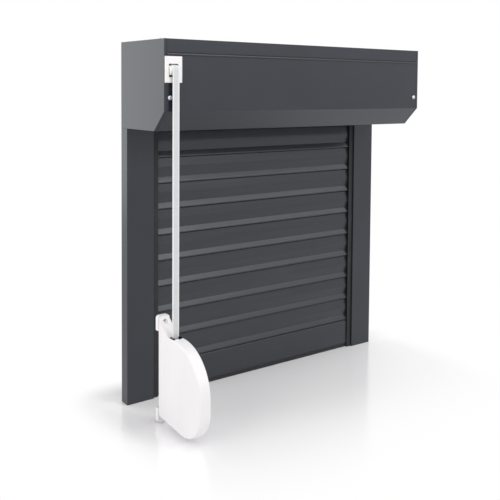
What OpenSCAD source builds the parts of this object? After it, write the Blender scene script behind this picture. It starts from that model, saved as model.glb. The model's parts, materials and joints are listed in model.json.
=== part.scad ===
// Exterior roller shutter with strap drive: box, two guide rails, curtain of hooked slats, roller,
// strap guide and surface strap winder. Millimetres, +Z up, the front faces -Y, Y = 0 is the wall plane.
// The origin is the centre of the four wall screw holes in the back of the box.

/* [Box] */
// width over both end caps
box_w = 596; // [480:1:900]
// height of the box
box_h = 150; // [137:1:180]
// depth of the box from the wall
box_d = 150; // [137:1:180]
// leg of the 45 degree slope at the lower front edge
chamfer = 33; // [20:1:45]
// sheet thickness of the shell and of the front cover
panel_t = 1.2; // [0.8:0.1:2]
// height of the shell's front lip above the cover
lip_h = 22; // [14:1:32]
// gap between the shell's lip and the cover
seam_gap = 1.2; // [0.6:0.1:2]
// how far the back wall reaches down between the rails
back_drop = 6; // [3:0.5:12]
// radius of the bead along the top edge of the cover
bead_r = 1.8; // [1:0.1:2.5]
// gap between the rails' front and the edge of the curtain mouth
mouth_gap = 9; // [7:0.5:16]

/* [End caps] */
// thickness of an end plate
cap_t = 3; // [2:0.5:5]
// width of the rim that shows beside the cover
cap_rim = 5; // [4:0.5:8]
// length of the flange that carries the panel ends
cap_flange = 16; // [14:1:20]
// thickness of that flange
flange_t = 2; // [1.5:0.1:3]
// length of the tongue that stands in the rail chamber
tongue_l = 42; // [25:1:60]

/* [Screws] */
// distance of the box screws from the end of the flange
screw_in = 10; // [8:0.5:12]
// height of the cover screws above the slope
screw_up = 22; // [12:1:40]
// distance of the top screws from the front
top_screw_y = 28; // [15:1:60]
// head radius
head_r = 4; // [3:0.1:5]
// head height
head_h = 2.8; // [2:0.1:4]
// shank radius
shank_r = 1.9; // [1.5:0.1:2.5]
// shank length
shank_l = 9; // [6:1:14]

/* [Rails] */
// rail length below the box
rail_l = 490; // [440:1:540]
// rail width
rail_w = 53; // [50:1:60]
// rail depth
rail_d = 22; // [20:0.5:26]
// wall thickness of the rail
rail_t = 1.6; // [1.2:0.1:2]
// width of the closed outer chamber
chamber_w = 25; // [22:1:28]
// width of the soft lip that stands out of the rail
lip_out = 11; // [6:0.5:13]
// thickness of the soft lip
lip_t = 1.4; // [1:0.1:1.8]

/* [Curtain] */
// depth of the hollow between bead and belly
valley_y = 1.8; // [1.4:0.1:2.4]
// how far the belly stands out of the hollow
belly = 3; // [2:0.1:3.4]
// height of the belly's knee, as a share of the belly
knee_share = 0.48; // [0.4:0.01:0.6]
// radius of the knee
knee_r = 20; // [10:1:40]
// front of the bead
bead_y = 5.6; // [5:0.1:5.8]
// back face of the slat
back_y = 3.2; // [2.8:0.1:3.6]
// height of the bottom bar
bar_h = 52; // [40:1:60]
// height of the rubber strip under the bottom bar
seal_h = 7.5; // [5:0.5:10]
// end play of the slats in each rail
slat_play = 4; // [3:0.5:6]

/* [Roller] */
// width across the flats of the tube
tube_af = 40; // [38:1:50]
// wall of the tube
tube_t = 0.8; // [0.6:0.1:1.2]
// pin radius
pin_r = 6; // [5:0.5:8]
// outer radius of the bearing
bearing_r = 14; // [12:0.5:16]
// width of the bearing
bearing_w = 8; // [6:0.5:10]
// room between the strap disc and the front flange
disc_room = 12.6; // [10:0.2:16]
// radius of the strap coil on the disc
coil_r = 46; // [40:1:50]
// number of hanging springs
hanger_n = 3; // [2:1:4]
// width of a hanging spring
hanger_w = 22; // [14:1:30]

/* [Strap] */
// strap width
strap_w = 12.5; // [11:0.5:15]
// strap thickness
strap_t = 1.2; // [1:0.1:1.4]
// room on each side of the strap on its guide roller
strap_side = 1.75; // [1.6:0.05:2.5]

/* [Strap guide] */
// plate width
plate_w = 31.5; // [29:0.5:32]
// plate height
plate_h = 42.5; // [38:0.5:50]
// plate thickness
plate_t = 2.5; // [2:0.1:3]
// gap between the plate and the cover's bead
plate_drop = 1.45; // [0.5:0.05:4]
// distance of the guide's middle from the strap's, towards the box end
guide_off = 1.5; // [0:0.1:1.5]
// height of the plate's middle above the guide roller axis
plate_up = 1.5; // [0:0.5:3]
// guide roller radius
guide_r = 8; // [7:0.1:8.5]
// guide pin radius
guide_pin_r = 1.5; // [1.2:0.1:2]

/* [Winder] */
// distance between the two screw holes
hole_gap = 165; // [158:1:185]
// radius of a screw hole
hole_r = 2.5; // [2:0.1:3]
// height of the lower lug's end above the rail feet
lug_up = 2; // [2:1:60]
// distance from a screw hole to its lug's end
lug_end = 8; // [6:0.5:10]
// height of a lug
lug_h = 25; // [20:1:32]
// depth of a lug
lug_t = 8; // [6:0.5:10]
// thickness of the strip between the lugs
spine_t = 3; // [2:0.5:4]
// distance from the lugs' back to the strap
lug_back = 46; // [44:1:52]
// depth of the housing
house_d = 128; // [120:1:140]
// room between the housing and the upper screw hole
lug_room = 20; // [16:0.5:24]
// wall of the housing
house_t = 2; // [1.6:0.1:2.5]
// radius of the upper front curve
nose_r = 78; // [72:1:82]
// radius of the lower front corner
heel_r = 50; // [40:1:52]
// flange radius of the reel
reel_r = 50; // [44:1:52]
// radius of the strap on the reel
reel_coil_r = 24; // [20:1:34]
// radius of the reel axle
axle_r = 4; // [3:0.5:5]
// number of turns of the mainspring
spring_turns = 5; // [3:1:6]

/* [Wall screws] */
// hole spacing along the box
wall_x = 400; // [300:10:440]
// hole spacing in height
wall_z = 90; // [60:5:110]
// hole radius
wall_r = 3.5; // [2.5:0.5:5]

/* [Fits] */
// running clearance of pins in bores
run = 0.05; // [0.02:0.01:0.1]
// clearance of sheet and plastic pieces
slip = 0.2; // [0.1:0.05:0.4]
// play of a hook in its slot
hook_play = 0.2; // [0.1:0.05:0.4]

/* [Hidden] */
$fn = 64;
half = box_w / 2;
z_low = -box_h / 2;
z_top = box_h / 2;
z_sill = z_low - rail_l;
mitre = sqrt(2) - 1;
past = 1;

// box and end caps
cap_in = panel_t + slip;
cap_end = cap_rim + cap_flange;
cup_wall = 4;
cup_l = bearing_w + 1;
span = box_w - 2 * (cap_rim + slip);
back_span = box_w - 2 * (rail_w + slip);
inner_span = box_w - 2 * (cap_end + slip);
cover_top = z_top - lip_h - seam_gap;
tab_up = 10;
tab_down = 4;
mouth_y = rail_d + mouth_gap;
mouth_h = 9;
screw_x = half - cap_end + screw_in;
screw_z = z_low + chamfer + screw_up;

// rails
groove_in = rail_w - chamber_w;
rib_in = 10;
rib_h = 1.8;
lip_foot = 2;
inlet_rise = 26;
inlet_t = 2;
end_gap = 1.5;
inlet_side = end_gap - 2 * slip;
inlet_foot = 4;
inlet_flare = 3;

// curtain
slat_n = 9;
slat_gap = 1.5;
slat_wall = 1;
top_drop = 7;
sill_gap = 0.5;
slat_p = (rail_l - top_drop - bar_h - seal_h - sill_gap) / slat_n;
slat_l = box_w - 2 * (chamber_w + slat_play);
hook_line_y = (rail_d - valley_y - belly + back_y) / 2;
curtain_top = z_low - top_drop;
bar_top = curtain_top - slat_n * slat_p;
bead_h = 3;
bead_round = 1.4;
valley_z = 11;
chord = slat_p - slat_gap - valley_z;
knee_z = knee_share * chord;
low_a = atan2(belly, knee_z);
high_a = atan2(belly, chord - knee_z);
shoulder = 0.4;
edge = 1;
shelf = 1.4;
hook_t = 1.2;
hook_h = 6.2;
hook_back = 1.4;
hook_front = 1.9;
slot_lip = 0.5;
slot_front = 2.6;
slot_back = 2.2;
slot_top = hook_h + 0.6;
bar_wall = 1.5;
bar_foot = 6;
glide_low = 2;
glide_top = 6;
seal_neck = 1;
seal_head = 2.5;
seal_w = 6.8;

// strap guide
guide_set = 2;
guide_w = strap_w + 2 * strap_side;
guide_y = -box_d + guide_set;
open_w = guide_w + 1.5;
open_h = 2 * guide_r + 5;
ear_t = 2.2;
ear_h = 10;
ear_d = 8;
ear_room = 0.55;
guide_z = cover_top - 2 * bead_r - plate_drop - plate_h / 2 - plate_up;
guide_in = cap_rim + ear_room + ear_t + open_w / 2;
guide_x = -half + guide_in;
strap_in = guide_in + guide_off;
strap_x = -half + strap_in;

// roller and strap disc
disc_r = (box_d - cap_in - flange_t - disc_room - rail_d) / 2;
axis_y = rail_d + disc_r;
oct = cos(22.5);
tube_r = tube_af / 2 / oct;
coil_w = strap_w + 1.2;
disc_web = 2;
hub_r = 30;
hub_wall = 4;
tube_gap = 1;
plug_l = 50;
pin_gap = 0.5;
tube_x = strap_in + coil_w / 2 + disc_web + tube_gap;
tube_end = cap_t + cup_l + 5;
hanger_t = 0.8;
hanger_wrap = 120;
hanger_foot = 6;
hanger_foot_t = 4;

// strap line
strap_gap = 0.3;
bend_r = guide_r + strap_gap + strap_t / 2;
coil_mid = coil_r + strap_gap + strap_t / 2;
run_y = guide_y - bend_r;

// winder
reel_hub = 14;
reel_wall = 1.5;
reel_flange = 1.2;
reel_play = 0.3;
reel_side = 1.25;
reel_inner = strap_w / 2 + reel_play;
house_w = 2 * (reel_inner + reel_flange + reel_side + house_t);
heel_drop = 3;
heel_rise = 8;
heel_a = atan2(heel_rise, house_d - heel_r);
house_h = hole_gap + heel_drop - lug_room;
reel_y = run_y - reel_coil_r - strap_gap - strap_t / 2;
lug_y = run_y + lug_back;
low_hole = z_sill + lug_up + lug_end;
high_hole = low_hole + hole_gap;
house_y = lug_y - lug_t;
house_low = low_hole - heel_drop;
house_top = house_low + house_h;
nose_z = house_top - nose_r;
front_y = house_y - house_d;
reel_z = nose_z;
spring_t = 0.5;
spring_gap = 0.6;
slot_side = reel_play + reel_flange + reel_side;
slot_before = 8;
slot_behind = 6;
slot_deep = 12;
neck_drop = 3;
neck_foot = 1;
neck_seat = 3;
head_room = 4.3;
lug_round = 5;
spine_in = 3;

paint = [0.22, 0.24, 0.26];
paint_dark = [0.17, 0.18, 0.2];
rubber = [0.07, 0.07, 0.08];
steel = [0.72, 0.73, 0.75];
zinc = [0.6, 0.62, 0.65];
white = [0.95, 0.94, 0.95];
cloth = [0.84, 0.85, 0.87];

// A flat drawing in depth and height, drawn out along the width from x.
module along_x(x, l) {
    translate([x, 0, 0]) rotate([90, 0, 90]) linear_extrude(l) children();
}

// A round bar along the width.
module bar_x(x, l, y, z, r) {
    translate([x, y, z]) rotate([0, 90, 0]) cylinder(r = r, h = l);
}

// The box's section, inset by i on every side.
module section(i) {
    polygon([[-i, z_low + i], [-i, z_top - i], [-box_d + i, z_top - i],
        [-box_d + i, z_low + chamfer + i * mitre], [-box_d + chamfer + i * mitre, z_low + i]]);
}

module ring_section(a, b) {
    difference() {
        section(a);
        section(b);
    }
}

// The right piece of a pair, from the one drawn at the left end.
module at_right() {
    mirror([1, 0, 0]) children();
}

// Screw with its head on z = 0, pointing down.
module screw() {
    cap_r = (head_r * head_r + head_h * head_h) / (2 * head_h);
    intersection() {
        translate([0, 0, head_h - cap_r]) sphere(r = cap_r);
        cylinder(r = head_r, h = head_h);
    }
    translate([0, 0, -shank_l]) cylinder(r = shank_r, h = shank_l);
}

// Places for the two cover screws and the two top screws, at both ends.
module cover_screw_at() {
    for (s = [-1, 1]) translate([s * screw_x, -box_d, screw_z]) rotate([90, 0, 0]) children();
}

module top_screw_at() {
    for (s = [-1, 1]) translate([s * screw_x, -box_d + top_screw_y, z_top]) children();
}

module shank_hole(r) {
    translate([0, 0, -shank_l - past]) cylinder(r = r, h = shank_l + 2 * past);
}

module end_cap() {
    tongue_in = rail_t + slip;
    notch_h = open_h + 2 * past;
    difference() {
        union() {
            along_x(-half, cap_t) section(0);
            along_x(-half, cap_rim) ring_section(0, cap_in + flange_t);
            along_x(-half, cap_end) ring_section(cap_in, cap_in + flange_t);
            bar_x(-half, cap_t + cup_l, -axis_y, 0, bearing_r + cup_wall);
            translate([-half + tongue_in, -rail_d + tongue_in, z_low - tongue_l])
                cube([chamber_w - 2 * tongue_in, rail_d - 2 * tongue_in, tongue_l + cap_in + flange_t]);
        }
        bar_x(-half + cap_t, cup_l + past, -axis_y, 0, bearing_r + run);
        translate([-half + cap_rim, -box_d - past, guide_z - notch_h / 2])
            cube([cap_flange + past, guide_set + guide_r + 2 * past, notch_h]);
        cover_screw_at() shank_hole(shank_r + run);
        top_screw_at() shank_hole(shank_r + run);
    }
}

module end_cap_left() {
    color(paint) end_cap();
}

module end_cap_right() {
    color(paint) at_right() end_cap();
}

// Back, top and front lip, bent from one sheet.
module shell() {
    color(paint) difference() {
        union() {
            along_x(-span / 2, span) intersection() {
                ring_section(0, panel_t);
                union() {
                    translate([-panel_t, z_low]) square([panel_t, box_h]);
                    translate([-box_d, z_top - panel_t]) square([box_d, panel_t]);
                    translate([-box_d, z_top - lip_h]) square([panel_t, lip_h]);
                }
            }
            translate([-back_span / 2, -panel_t, z_low - back_drop])
                cube([back_span, panel_t, 2 * back_drop]);
        }
        for (x = [-1, 1], z = [-1, 1]) translate([x * wall_x / 2, past, z * wall_z / 2])
            rotate([90, 0, 0]) cylinder(r = wall_r, h = panel_t + 2 * past);
        top_screw_at() shank_hole(shank_r + slip);
    }
}

// Front, slope and bottom strip with the tucked top edge, its bead and the turned-up mouth edge.
module front_cover() {
    color(paint) difference() {
        union() {
            along_x(-span / 2, span) {
                intersection() {
                    ring_section(0, panel_t);
                    translate([-box_d, z_low]) square([box_d - mouth_y, cover_top - z_low]);
                }
                intersection() {
                    translate([-box_d, cover_top - bead_r]) circle(r = bead_r);
                    translate([-box_d - bead_r, cover_top - 2 * bead_r])
                        square([bead_r + panel_t, 2 * bead_r]);
                }
            }
            along_x(-inner_span / 2, inner_span) {
                translate([-box_d, cover_top - tab_down]) square([cap_in + panel_t, tab_down]);
                translate([-box_d + cap_in, cover_top - tab_down]) square([panel_t, tab_down + tab_up]);
                translate([-mouth_y - panel_t, z_low]) square([panel_t, mouth_h]);
            }
        }
        translate([-half, -box_d - past, guide_z - open_h / 2])
            cube([guide_in + open_w / 2 + ear_t + slip, panel_t + 2 * past, open_h]);
        cover_screw_at() shank_hole(shank_r + slip);
    }
}

module cover_screws() {
    color(zinc) cover_screw_at() screw();
}

module top_screws() {
    color(zinc) top_screw_at() screw();
}

// Rail profile, outer side at x = 0 and wall at y = 0.
module rail_profile() {
    difference() {
        translate([0, -rail_d]) square([chamber_w, rail_d]);
        translate([rail_t, -rail_d + rail_t]) square([chamber_w - 2 * rail_t, rail_d - 2 * rail_t]);
    }
    for (y = [-rail_d, -rail_t]) translate([chamber_w, y]) square([groove_in, rail_t]);
    for (x = [rail_w - rail_t, rail_w - rib_in]) {
        translate([x, -rail_d]) square([rail_t, rail_t + rib_h]);
        translate([x, -rail_t - rib_h]) square([rail_t, rail_t + rib_h]);
    }
}

// Soft lip of one groove side: foot between the two ribs, blade past the rail's edge.
module lip_profile() {
    start = rail_w - rib_in + rail_t + slip;
    translate([start, rail_t]) square([rib_in - 2 * (rail_t + slip), lip_foot + lip_t]);
    translate([start, rail_t + lip_foot]) square([rail_w + lip_out - start, lip_t]);
}

module rail() {
    translate([-half, 0, z_sill]) linear_extrude(rail_l) rail_profile();
}

module rail_seal() {
    translate([-half, 0, z_sill]) linear_extrude(rail_l) {
        translate([0, -rail_d]) lip_profile();
        mirror([0, 1]) lip_profile();
    }
}

module rail_left() {
    color(paint) rail();
}

module rail_right() {
    color(paint) at_right() rail();
}

module rail_seal_left() {
    color(rubber) rail_seal();
}

module rail_seal_right() {
    color(rubber) at_right() rail_seal();
}

// Funnel on a rail's top that leads the curtain into the groove.
module inlet() {
    back = -panel_t - slip;
    front = -rail_d - inlet_flare;
    top = z_low + inlet_rise;
    along_x(-half + chamber_w + slip, groove_in - slip) {
        polygon([[-rail_d, z_low], [-rail_d + inlet_foot, z_low], [front, top], [front - inlet_t, top]]);
        polygon([[back, z_low], [back, top], [back - inlet_t / 2, top], [back - inlet_foot, z_low]]);
    }
    along_x(-half + chamber_w + slip, inlet_side)
        translate([-rail_d, z_low]) square([rail_d + back, inlet_rise / 2]);
}

module inlet_left() {
    color(paint_dark) inlet();
}

module inlet_right() {
    color(paint_dark) at_right() inlet();
}

module bearing() {
    color(steel) difference() {
        bar_x(-half + cap_t + slip, bearing_w, -axis_y, 0, bearing_r);
        bar_x(-half, cap_t + cup_l + past, -axis_y, 0, pin_r + run);
    }
}

module bearing_left() {
    bearing();
}

module bearing_right() {
    at_right() bearing();
}

// Eight-sided bar along the width with level flats.
module octagon(x, l, r) {
    translate([x, -axis_y, 0]) rotate([0, 90, 0]) rotate([0, 0, 22.5]) cylinder(r = r, h = l, $fn = 8);
}

module roller_tube() {
    l = box_w - tube_x - tube_end;
    color(zinc) difference() {
        octagon(-half + tube_x, l, tube_r);
        octagon(-half + tube_x - past, l + 2 * past, tube_r - tube_t / oct);
    }
}

// End plug inside the tube with the pin that runs in the bearing.
module plug(start) {
    color(paint_dark) {
        octagon(-half + start, plug_l, tube_r - (tube_t + slip) / oct);
        bar_x(-half + cap_t + slip + pin_gap, start - cap_t - slip, -axis_y, 0, pin_r);
    }
}

module plug_left() {
    plug(tube_x);
}

module plug_right() {
    at_right() plug(tube_end);
}

// Two flanges on a hub; the web on the inner side sits on the pin.
module strap_disc() {
    left = strap_x - coil_w / 2 - disc_web;
    color(white) difference() {
        union() {
            for (x = [left, strap_x + coil_w / 2]) bar_x(x, disc_web, -axis_y, 0, disc_r);
            bar_x(strap_x - coil_w / 2, coil_w, -axis_y, 0, hub_r);
        }
        bar_x(left - past, coil_w + disc_web + past, -axis_y, 0, hub_r - hub_wall);
        bar_x(strap_x, coil_w, -axis_y, 0, pin_r + run);
    }
}

module strap_coil() {
    color(cloth) difference() {
        bar_x(strap_x - strap_w / 2, strap_w, -axis_y, 0, coil_r);
        bar_x(strap_x - strap_w, 2 * strap_w, -axis_y, 0, hub_r + run);
    }
}

// Points of an arc about c, from angle a0 to angle a1 in n steps.
function polar(r, a) = r * [cos(a), sin(a)];
function arc(c, r, a0, a1, n) = [for (i = [0:n]) c + polar(r, a0 + (a1 - a0) * i / n)];

// Steel springs from the roller to the top slat's hook.
module hanging_springs() {
    foot_z = curtain_top + hook_h;
    c = [-axis_y, 0];
    end = [-hook_line_y, foot_z + hanger_foot];
    r = tube_r + hanger_t;
    t = hanger_t / 2;
    a = atan2(end[1] - c[1], end[0] - c[0]) + acos(r / norm(end - c));
    dir = polar(1, a);
    band = concat(arc(c, r + t, a + hanger_wrap, a, 24), [end + dir * t], [end - dir * t],
        arc(c, r - t, a, a + hanger_wrap, 24));
    pitch = slat_l / hanger_n;
    color(steel) for (i = [0:hanger_n - 1])
        along_x((i - (hanger_n - 1) / 2) * pitch - hanger_w / 2, hanger_w) {
            polygon(band);
            translate([-hook_line_y - hanger_foot_t / 2, foot_z]) square([hanger_foot_t, hanger_foot + t]);
        }
}

// Hook along the top edge at height h, in the slat's own drawing.
function hook(h, low) = [[hook_back - hook_t, low], [hook_back - hook_t, h + hook_h - hook_t],
    [hook_t - hook_front, h + hook_h - hook_t], [hook_t - hook_front, h + shelf + hook_play],
    [-hook_front, h + shelf + hook_play], [-hook_front, h + hook_h], [hook_back, h + hook_h],
    [hook_back, low]];

// Rounded knee of the belly, drawn in by w.
function knee(w) = arc(knee_c, knee_r - w, 180 + low_a, 180 - high_a, 8);

// Slat section: bead with its hook slot, hollow, belly and top hook. Depth first, height second.
slat_high = slat_p - slat_gap;
bead_c = [-bead_y + bead_round, bead_round];
knee_c = [-valley_y - belly, valley_z + knee_z]
    - polar(knee_r / cos((low_a + high_a) / 2), 180 + (low_a - high_a) / 2);
slat_points = concat([[-slot_lip, 0]], arc(bead_c, bead_round, 270, 165, 5), [[-bead_y + shoulder, bead_h]],
    [[-valley_y, valley_z]], knee(0), [[-valley_y, slat_high], [-valley_y + edge, slat_high + shoulder]],
    hook(slat_p, slat_high + shoulder), [[back_y - edge, slat_high + shoulder],
    [back_y, slat_high + shoulder - edge], [back_y, 0], [slot_back, 0], [slot_back, slot_top],
    [-slot_front, slot_top], [-slot_front, shelf], [-slot_lip, shelf]]);

// Hollow of a slat, drawn in by i from its wall.
module slat_core(i) {
    w = slat_wall + i;
    back = back_y - w;
    low = [w / cos(low_a) - i * tan(low_a) - valley_y, valley_z + i];
    high = [w / cos(high_a) - w * tan(high_a) - valley_y, slat_high - w];
    polygon(concat([[back, low[1]], low], knee(w), [high, [back, high[1]]]));
}

// Place of slat i, counted from the top.
module at_slat(i) {
    translate([-hook_line_y, curtain_top - i * slat_p]) children();
}

module slat(i) {
    color(paint) along_x(-slat_l / 2, slat_l) at_slat(i) difference() {
        polygon(slat_points);
        slat_core(0);
    }
}

// Foam filling of all slats.
module slat_cores() {
    color([0.86, 0.8, 0.55]) along_x(-slat_l / 2 + edge, slat_l - 2 * edge)
        for (i = [1:slat_n]) at_slat(i) slat_core(run);
}

module slat_1() {
    slat(1);
}

module slat_2() {
    slat(2);
}

module slat_3() {
    slat(3);
}

module slat_4() {
    slat(4);
}

module slat_5() {
    slat(5);
}

module slat_6() {
    slat(6);
}

module slat_7() {
    slat(7);
}

module slat_8() {
    slat(8);
}

module slat_9() {
    slat(9);
}

// End pieces on every second slat that keep the row from shifting sideways.
module slat_end_locks() {
    lock_l = slat_play - end_gap;
    color(paint_dark) for (i = [1:2:slat_n], s = [0, 1]) mirror([s, 0, 0])
        along_x(-slat_l / 2 - lock_l, lock_l)
            at_slat(i) translate([-valley_y, valley_z]) square([valley_y + back_y, chord]);
}

// Hollow end slat with a slot for the seal.
module bottom_bar() {
    room = bead_y + back_y - 2 * bar_wall;
    half_h = bar_h / 2;
    color(paint) along_x(-slat_l / 2, slat_l) translate([-hook_line_y, bar_top]) difference() {
        polygon(concat([[-bead_y + edge, -bar_h], [-bead_y, -bar_h + edge], [-bead_y, -slat_gap - edge],
            [-bead_y + bead_round, -slat_gap + shoulder]], hook(0, -slat_gap + shoulder),
            [[back_y, -slat_gap + shoulder], [back_y, -bar_h]]));
        translate([-bead_y + bar_wall, -half_h]) square([room, half_h - slat_gap - bar_wall - edge]);
        translate([-bead_y + bar_wall, -bar_h + bar_foot + bar_wall])
            square([room, half_h - bar_foot - 2 * bar_wall]);
        translate([-bead_y + bar_wall, -bar_h + bar_wall]) square([room, bar_foot - bar_wall]);
        translate([-bead_y + 2 * bar_wall, -bar_h - past])
            square([room - 2 * bar_wall, bar_wall + 2 * past]);
    }
}

module bar_glides() {
    glide_l = slat_play - end_gap;
    color(rubber) for (s = [0, 1]) mirror([s, 0, 0]) along_x(-slat_l / 2 - glide_l, glide_l)
        translate([-hook_line_y - bead_y, bar_top - bar_h + glide_low])
            square([bead_y + back_y, bar_h - glide_low - glide_top]);
}

module bottom_seal() {
    mid = (back_y - bead_y) / 2;
    neck = bead_y + back_y - 4 * bar_wall - slip;
    head = bead_y + back_y - 2 * bar_wall - 2 * slip;
    color(rubber) along_x(-slat_l / 2 + edge, slat_l - 2 * edge)
        translate([-hook_line_y + mid, bar_top - bar_h]) {
            translate([-neck / 2, -seal_neck]) square([neck, seal_neck + bar_wall + slip + edge / 2]);
            translate([-head / 2, bar_wall + slip / 2]) square([head, seal_head]);
            translate([-seal_w / 2, -seal_h]) square([seal_w, seal_h]);
        }
}

// White plate on the cover with the roller opening and two ears behind it.
module guide_plate() {
    color(white) difference() {
        union() {
            translate([guide_x - plate_w / 2, -box_d - plate_t, guide_z + plate_up - plate_h / 2])
                cube([plate_w, plate_t, plate_h]);
            for (x = [-open_w / 2 - ear_t, open_w / 2])
                translate([guide_x + x, -box_d, guide_z - ear_h / 2]) cube([ear_t, ear_d, ear_h]);
        }
        translate([guide_x - open_w / 2, -box_d - plate_t - past, guide_z - open_h / 2])
            cube([open_w, plate_t + 2 * past, open_h]);
        bar_x(guide_x - plate_w, 2 * plate_w, guide_y, guide_z, guide_pin_r + run);
    }
}

module guide_roller() {
    color(white) difference() {
        bar_x(guide_x - guide_w / 2, guide_w, guide_y, guide_z, guide_r);
        bar_x(guide_x - guide_w, 2 * guide_w, guide_y, guide_z, guide_pin_r + run);
    }
}

module guide_pin() {
    pin_l = open_w + 2 * ear_t;
    color(steel) bar_x(guide_x - pin_l / 2, pin_l, guide_y, guide_z, guide_pin_r);
}

// Strap from its coil over the guide roller and straight down to the reel.
module strap_run() {
    a = [-axis_y, 0];
    b = [guide_y, guide_z];
    d = norm(b - a);
    e = (b - a) / d;
    k = (coil_mid - bend_r) / d;
    n = k * e + sqrt(1 - k * k) * [e[1], -e[0]];
    turn = atan2(n[1], n[0]);
    t = strap_t / 2;
    foot = [run_y, reel_z];
    color(cloth) along_x(strap_x - strap_w / 2, strap_w)
        polygon(concat([a + n * (coil_mid + t)], arc(b, bend_r + t, turn, 180, 12), [foot - [t, 0]],
            [foot + [t, 0]], arc(b, bend_r - t, 180, turn, 12), [a + n * (coil_mid - t)]));
}

// Screw lug about its hole, with its rounded end up.
module lug() {
    w = house_w / 2;
    flat = w - lug_round;
    rotate([90, 0, 0]) linear_extrude(lug_t) {
        for (x = [-flat, flat]) translate([x, lug_end - lug_round]) circle(r = lug_round);
        translate([-w, lug_end - lug_h]) square([2 * w, lug_h - lug_round]);
        translate([-flat, lug_end - lug_h]) square([2 * flat, lug_h]);
    }
}

// Two screw lugs behind the housing, joined by a narrow strip.
module winder_bracket() {
    color(white) difference() {
        union() {
            translate([strap_x, lug_y, high_hole]) lug();
            translate([strap_x, lug_y, low_hole]) mirror([0, 0, 1]) lug();
            translate([strap_x - house_w / 2 + spine_in, house_y, low_hole])
                cube([house_w - 2 * spine_in, spine_t, hole_gap]);
        }
        for (z = [low_hole, high_hole]) translate([strap_x, lug_y + past, z])
            rotate([90, 0, 0]) cylinder(r = hole_r, h = lug_t + 2 * past);
    }
}

// Housing outline in depth and height, inset by i; its floor rises towards the back.
module house_section(i) {
    heel = [front_y + heel_r, house_low + heel_r];
    foot = heel + polar(heel_r - i, 270 + heel_a);
    back = house_y - i;
    intersection() {
        translate([front_y + nose_r, nose_z]) circle(r = nose_r - i);
        translate([front_y, nose_z]) square([nose_r, nose_r]);
    }
    translate([front_y + nose_r, nose_z]) square([house_d - nose_r - i, nose_r - i]);
    translate([front_y + i, heel[1]]) square([house_d - 2 * i, nose_z - heel[1]]);
    translate(heel) circle(r = heel_r - i);
    polygon([heel, foot, [back, foot[1] + (back - foot[0]) * tan(heel_a)], [back, heel[1]]]);
}

// Ramp from the upper lug down to the strap slot.
module neck_section() {
    foot_y = run_y + slot_behind + neck_foot;
    polygon([[house_y, house_top - house_t], [house_y, high_hole + lug_end - neck_drop],
        [foot_y, house_top], [foot_y, house_top - house_t]]);
}

// One half of the housing, drawn from its outer face x inwards.
module house_half(x, inner) {
    difference() {
        along_x(x, house_w / 2) {
            house_section(0);
            neck_section();
        }
        along_x(inner, house_w / 2) house_section(house_t);
        translate([strap_x, house_y + past, high_hole]) rotate([90, 0, 0])
            cylinder(r = hole_r + slip, h = neck_seat + 2 * past);
        translate([strap_x, house_y - neck_seat, high_hole]) rotate([90, 0, 0])
            cylinder(r = head_room, h = house_d);
        translate([strap_x - strap_w / 2 - slot_side, run_y - slot_before, house_top - slot_deep])
            cube([strap_w + 2 * slot_side, slot_before + slot_behind, slot_deep + past]);
    }
}

module housing_left() {
    color(white) {
        house_half(strap_x - house_w / 2, strap_x - house_w / 2 + house_t);
        bar_x(strap_x - house_w / 2, house_w - house_t - slip, reel_y, reel_z, axle_r);
    }
}

module housing_right() {
    color(white) house_half(strap_x, strap_x - house_t);
}

// Drum of the winder with its two flanges and the room for the spring.
module winder_reel() {
    side = reel_inner + reel_flange;
    color(paint_dark) difference() {
        union() {
            bar_x(strap_x - side, 2 * side, reel_y, reel_z, reel_hub);
            for (x = [-side, reel_inner]) bar_x(strap_x + x, reel_flange, reel_y, reel_z, reel_r);
        }
        bar_x(strap_x - reel_inner, 2 * reel_inner, reel_y, reel_z, reel_hub - reel_wall);
        bar_x(strap_x - house_w, 2 * house_w, reel_y, reel_z, axle_r + run);
    }
}

module reel_strap() {
    color(cloth) difference() {
        bar_x(strap_x - strap_w / 2, strap_w, reel_y, reel_z, reel_coil_r);
        bar_x(strap_x - strap_w, 2 * strap_w, reel_y, reel_z, reel_hub + run);
    }
}

// Flat spiral spring inside the drum.
module mainspring() {
    r0 = axle_r + spring_gap;
    r1 = reel_hub - reel_wall - spring_t - slip;
    n = 24 * spring_turns;
    function spot(i, o) = polar(r0 + (r1 - r0) * i / n + o, 360 * i / 24);
    color(steel) along_x(strap_x - strap_w / 2, strap_w) translate([reel_y, reel_z])
        polygon(concat([for (i = [0:n]) spot(i, 0)], [for (i = [n:-1:0]) spot(i, spring_t)]));
}

end_cap_left();
end_cap_right();
shell();
front_cover();
cover_screws();
top_screws();
rail_left();
rail_right();
rail_seal_left();
rail_seal_right();
inlet_left();
inlet_right();
bearing_left();
bearing_right();
roller_tube();
plug_left();
plug_right();
strap_disc();
strap_coil();
hanging_springs();
slat_1();
slat_2();
slat_3();
slat_4();
slat_5();
slat_6();
slat_7();
slat_8();
slat_9();
slat_cores();
slat_end_locks();
bottom_bar();
bar_glides();
bottom_seal();
guide_plate();
guide_roller();
guide_pin();
strap_run();
winder_bracket();
housing_left();
housing_right();
winder_reel();
reel_strap();
mainspring();
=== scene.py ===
"""Looks of the exterior roller shutter: coated box and rails, slat curtain, strap and winder."""

import json
from math import acos, atan2, cos, pi, radians, sin, sqrt

import bmesh
import bpy
from bpy.props import FloatProperty, FloatVectorProperty, PointerProperty
from mathutils import Matrix, Vector

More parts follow.
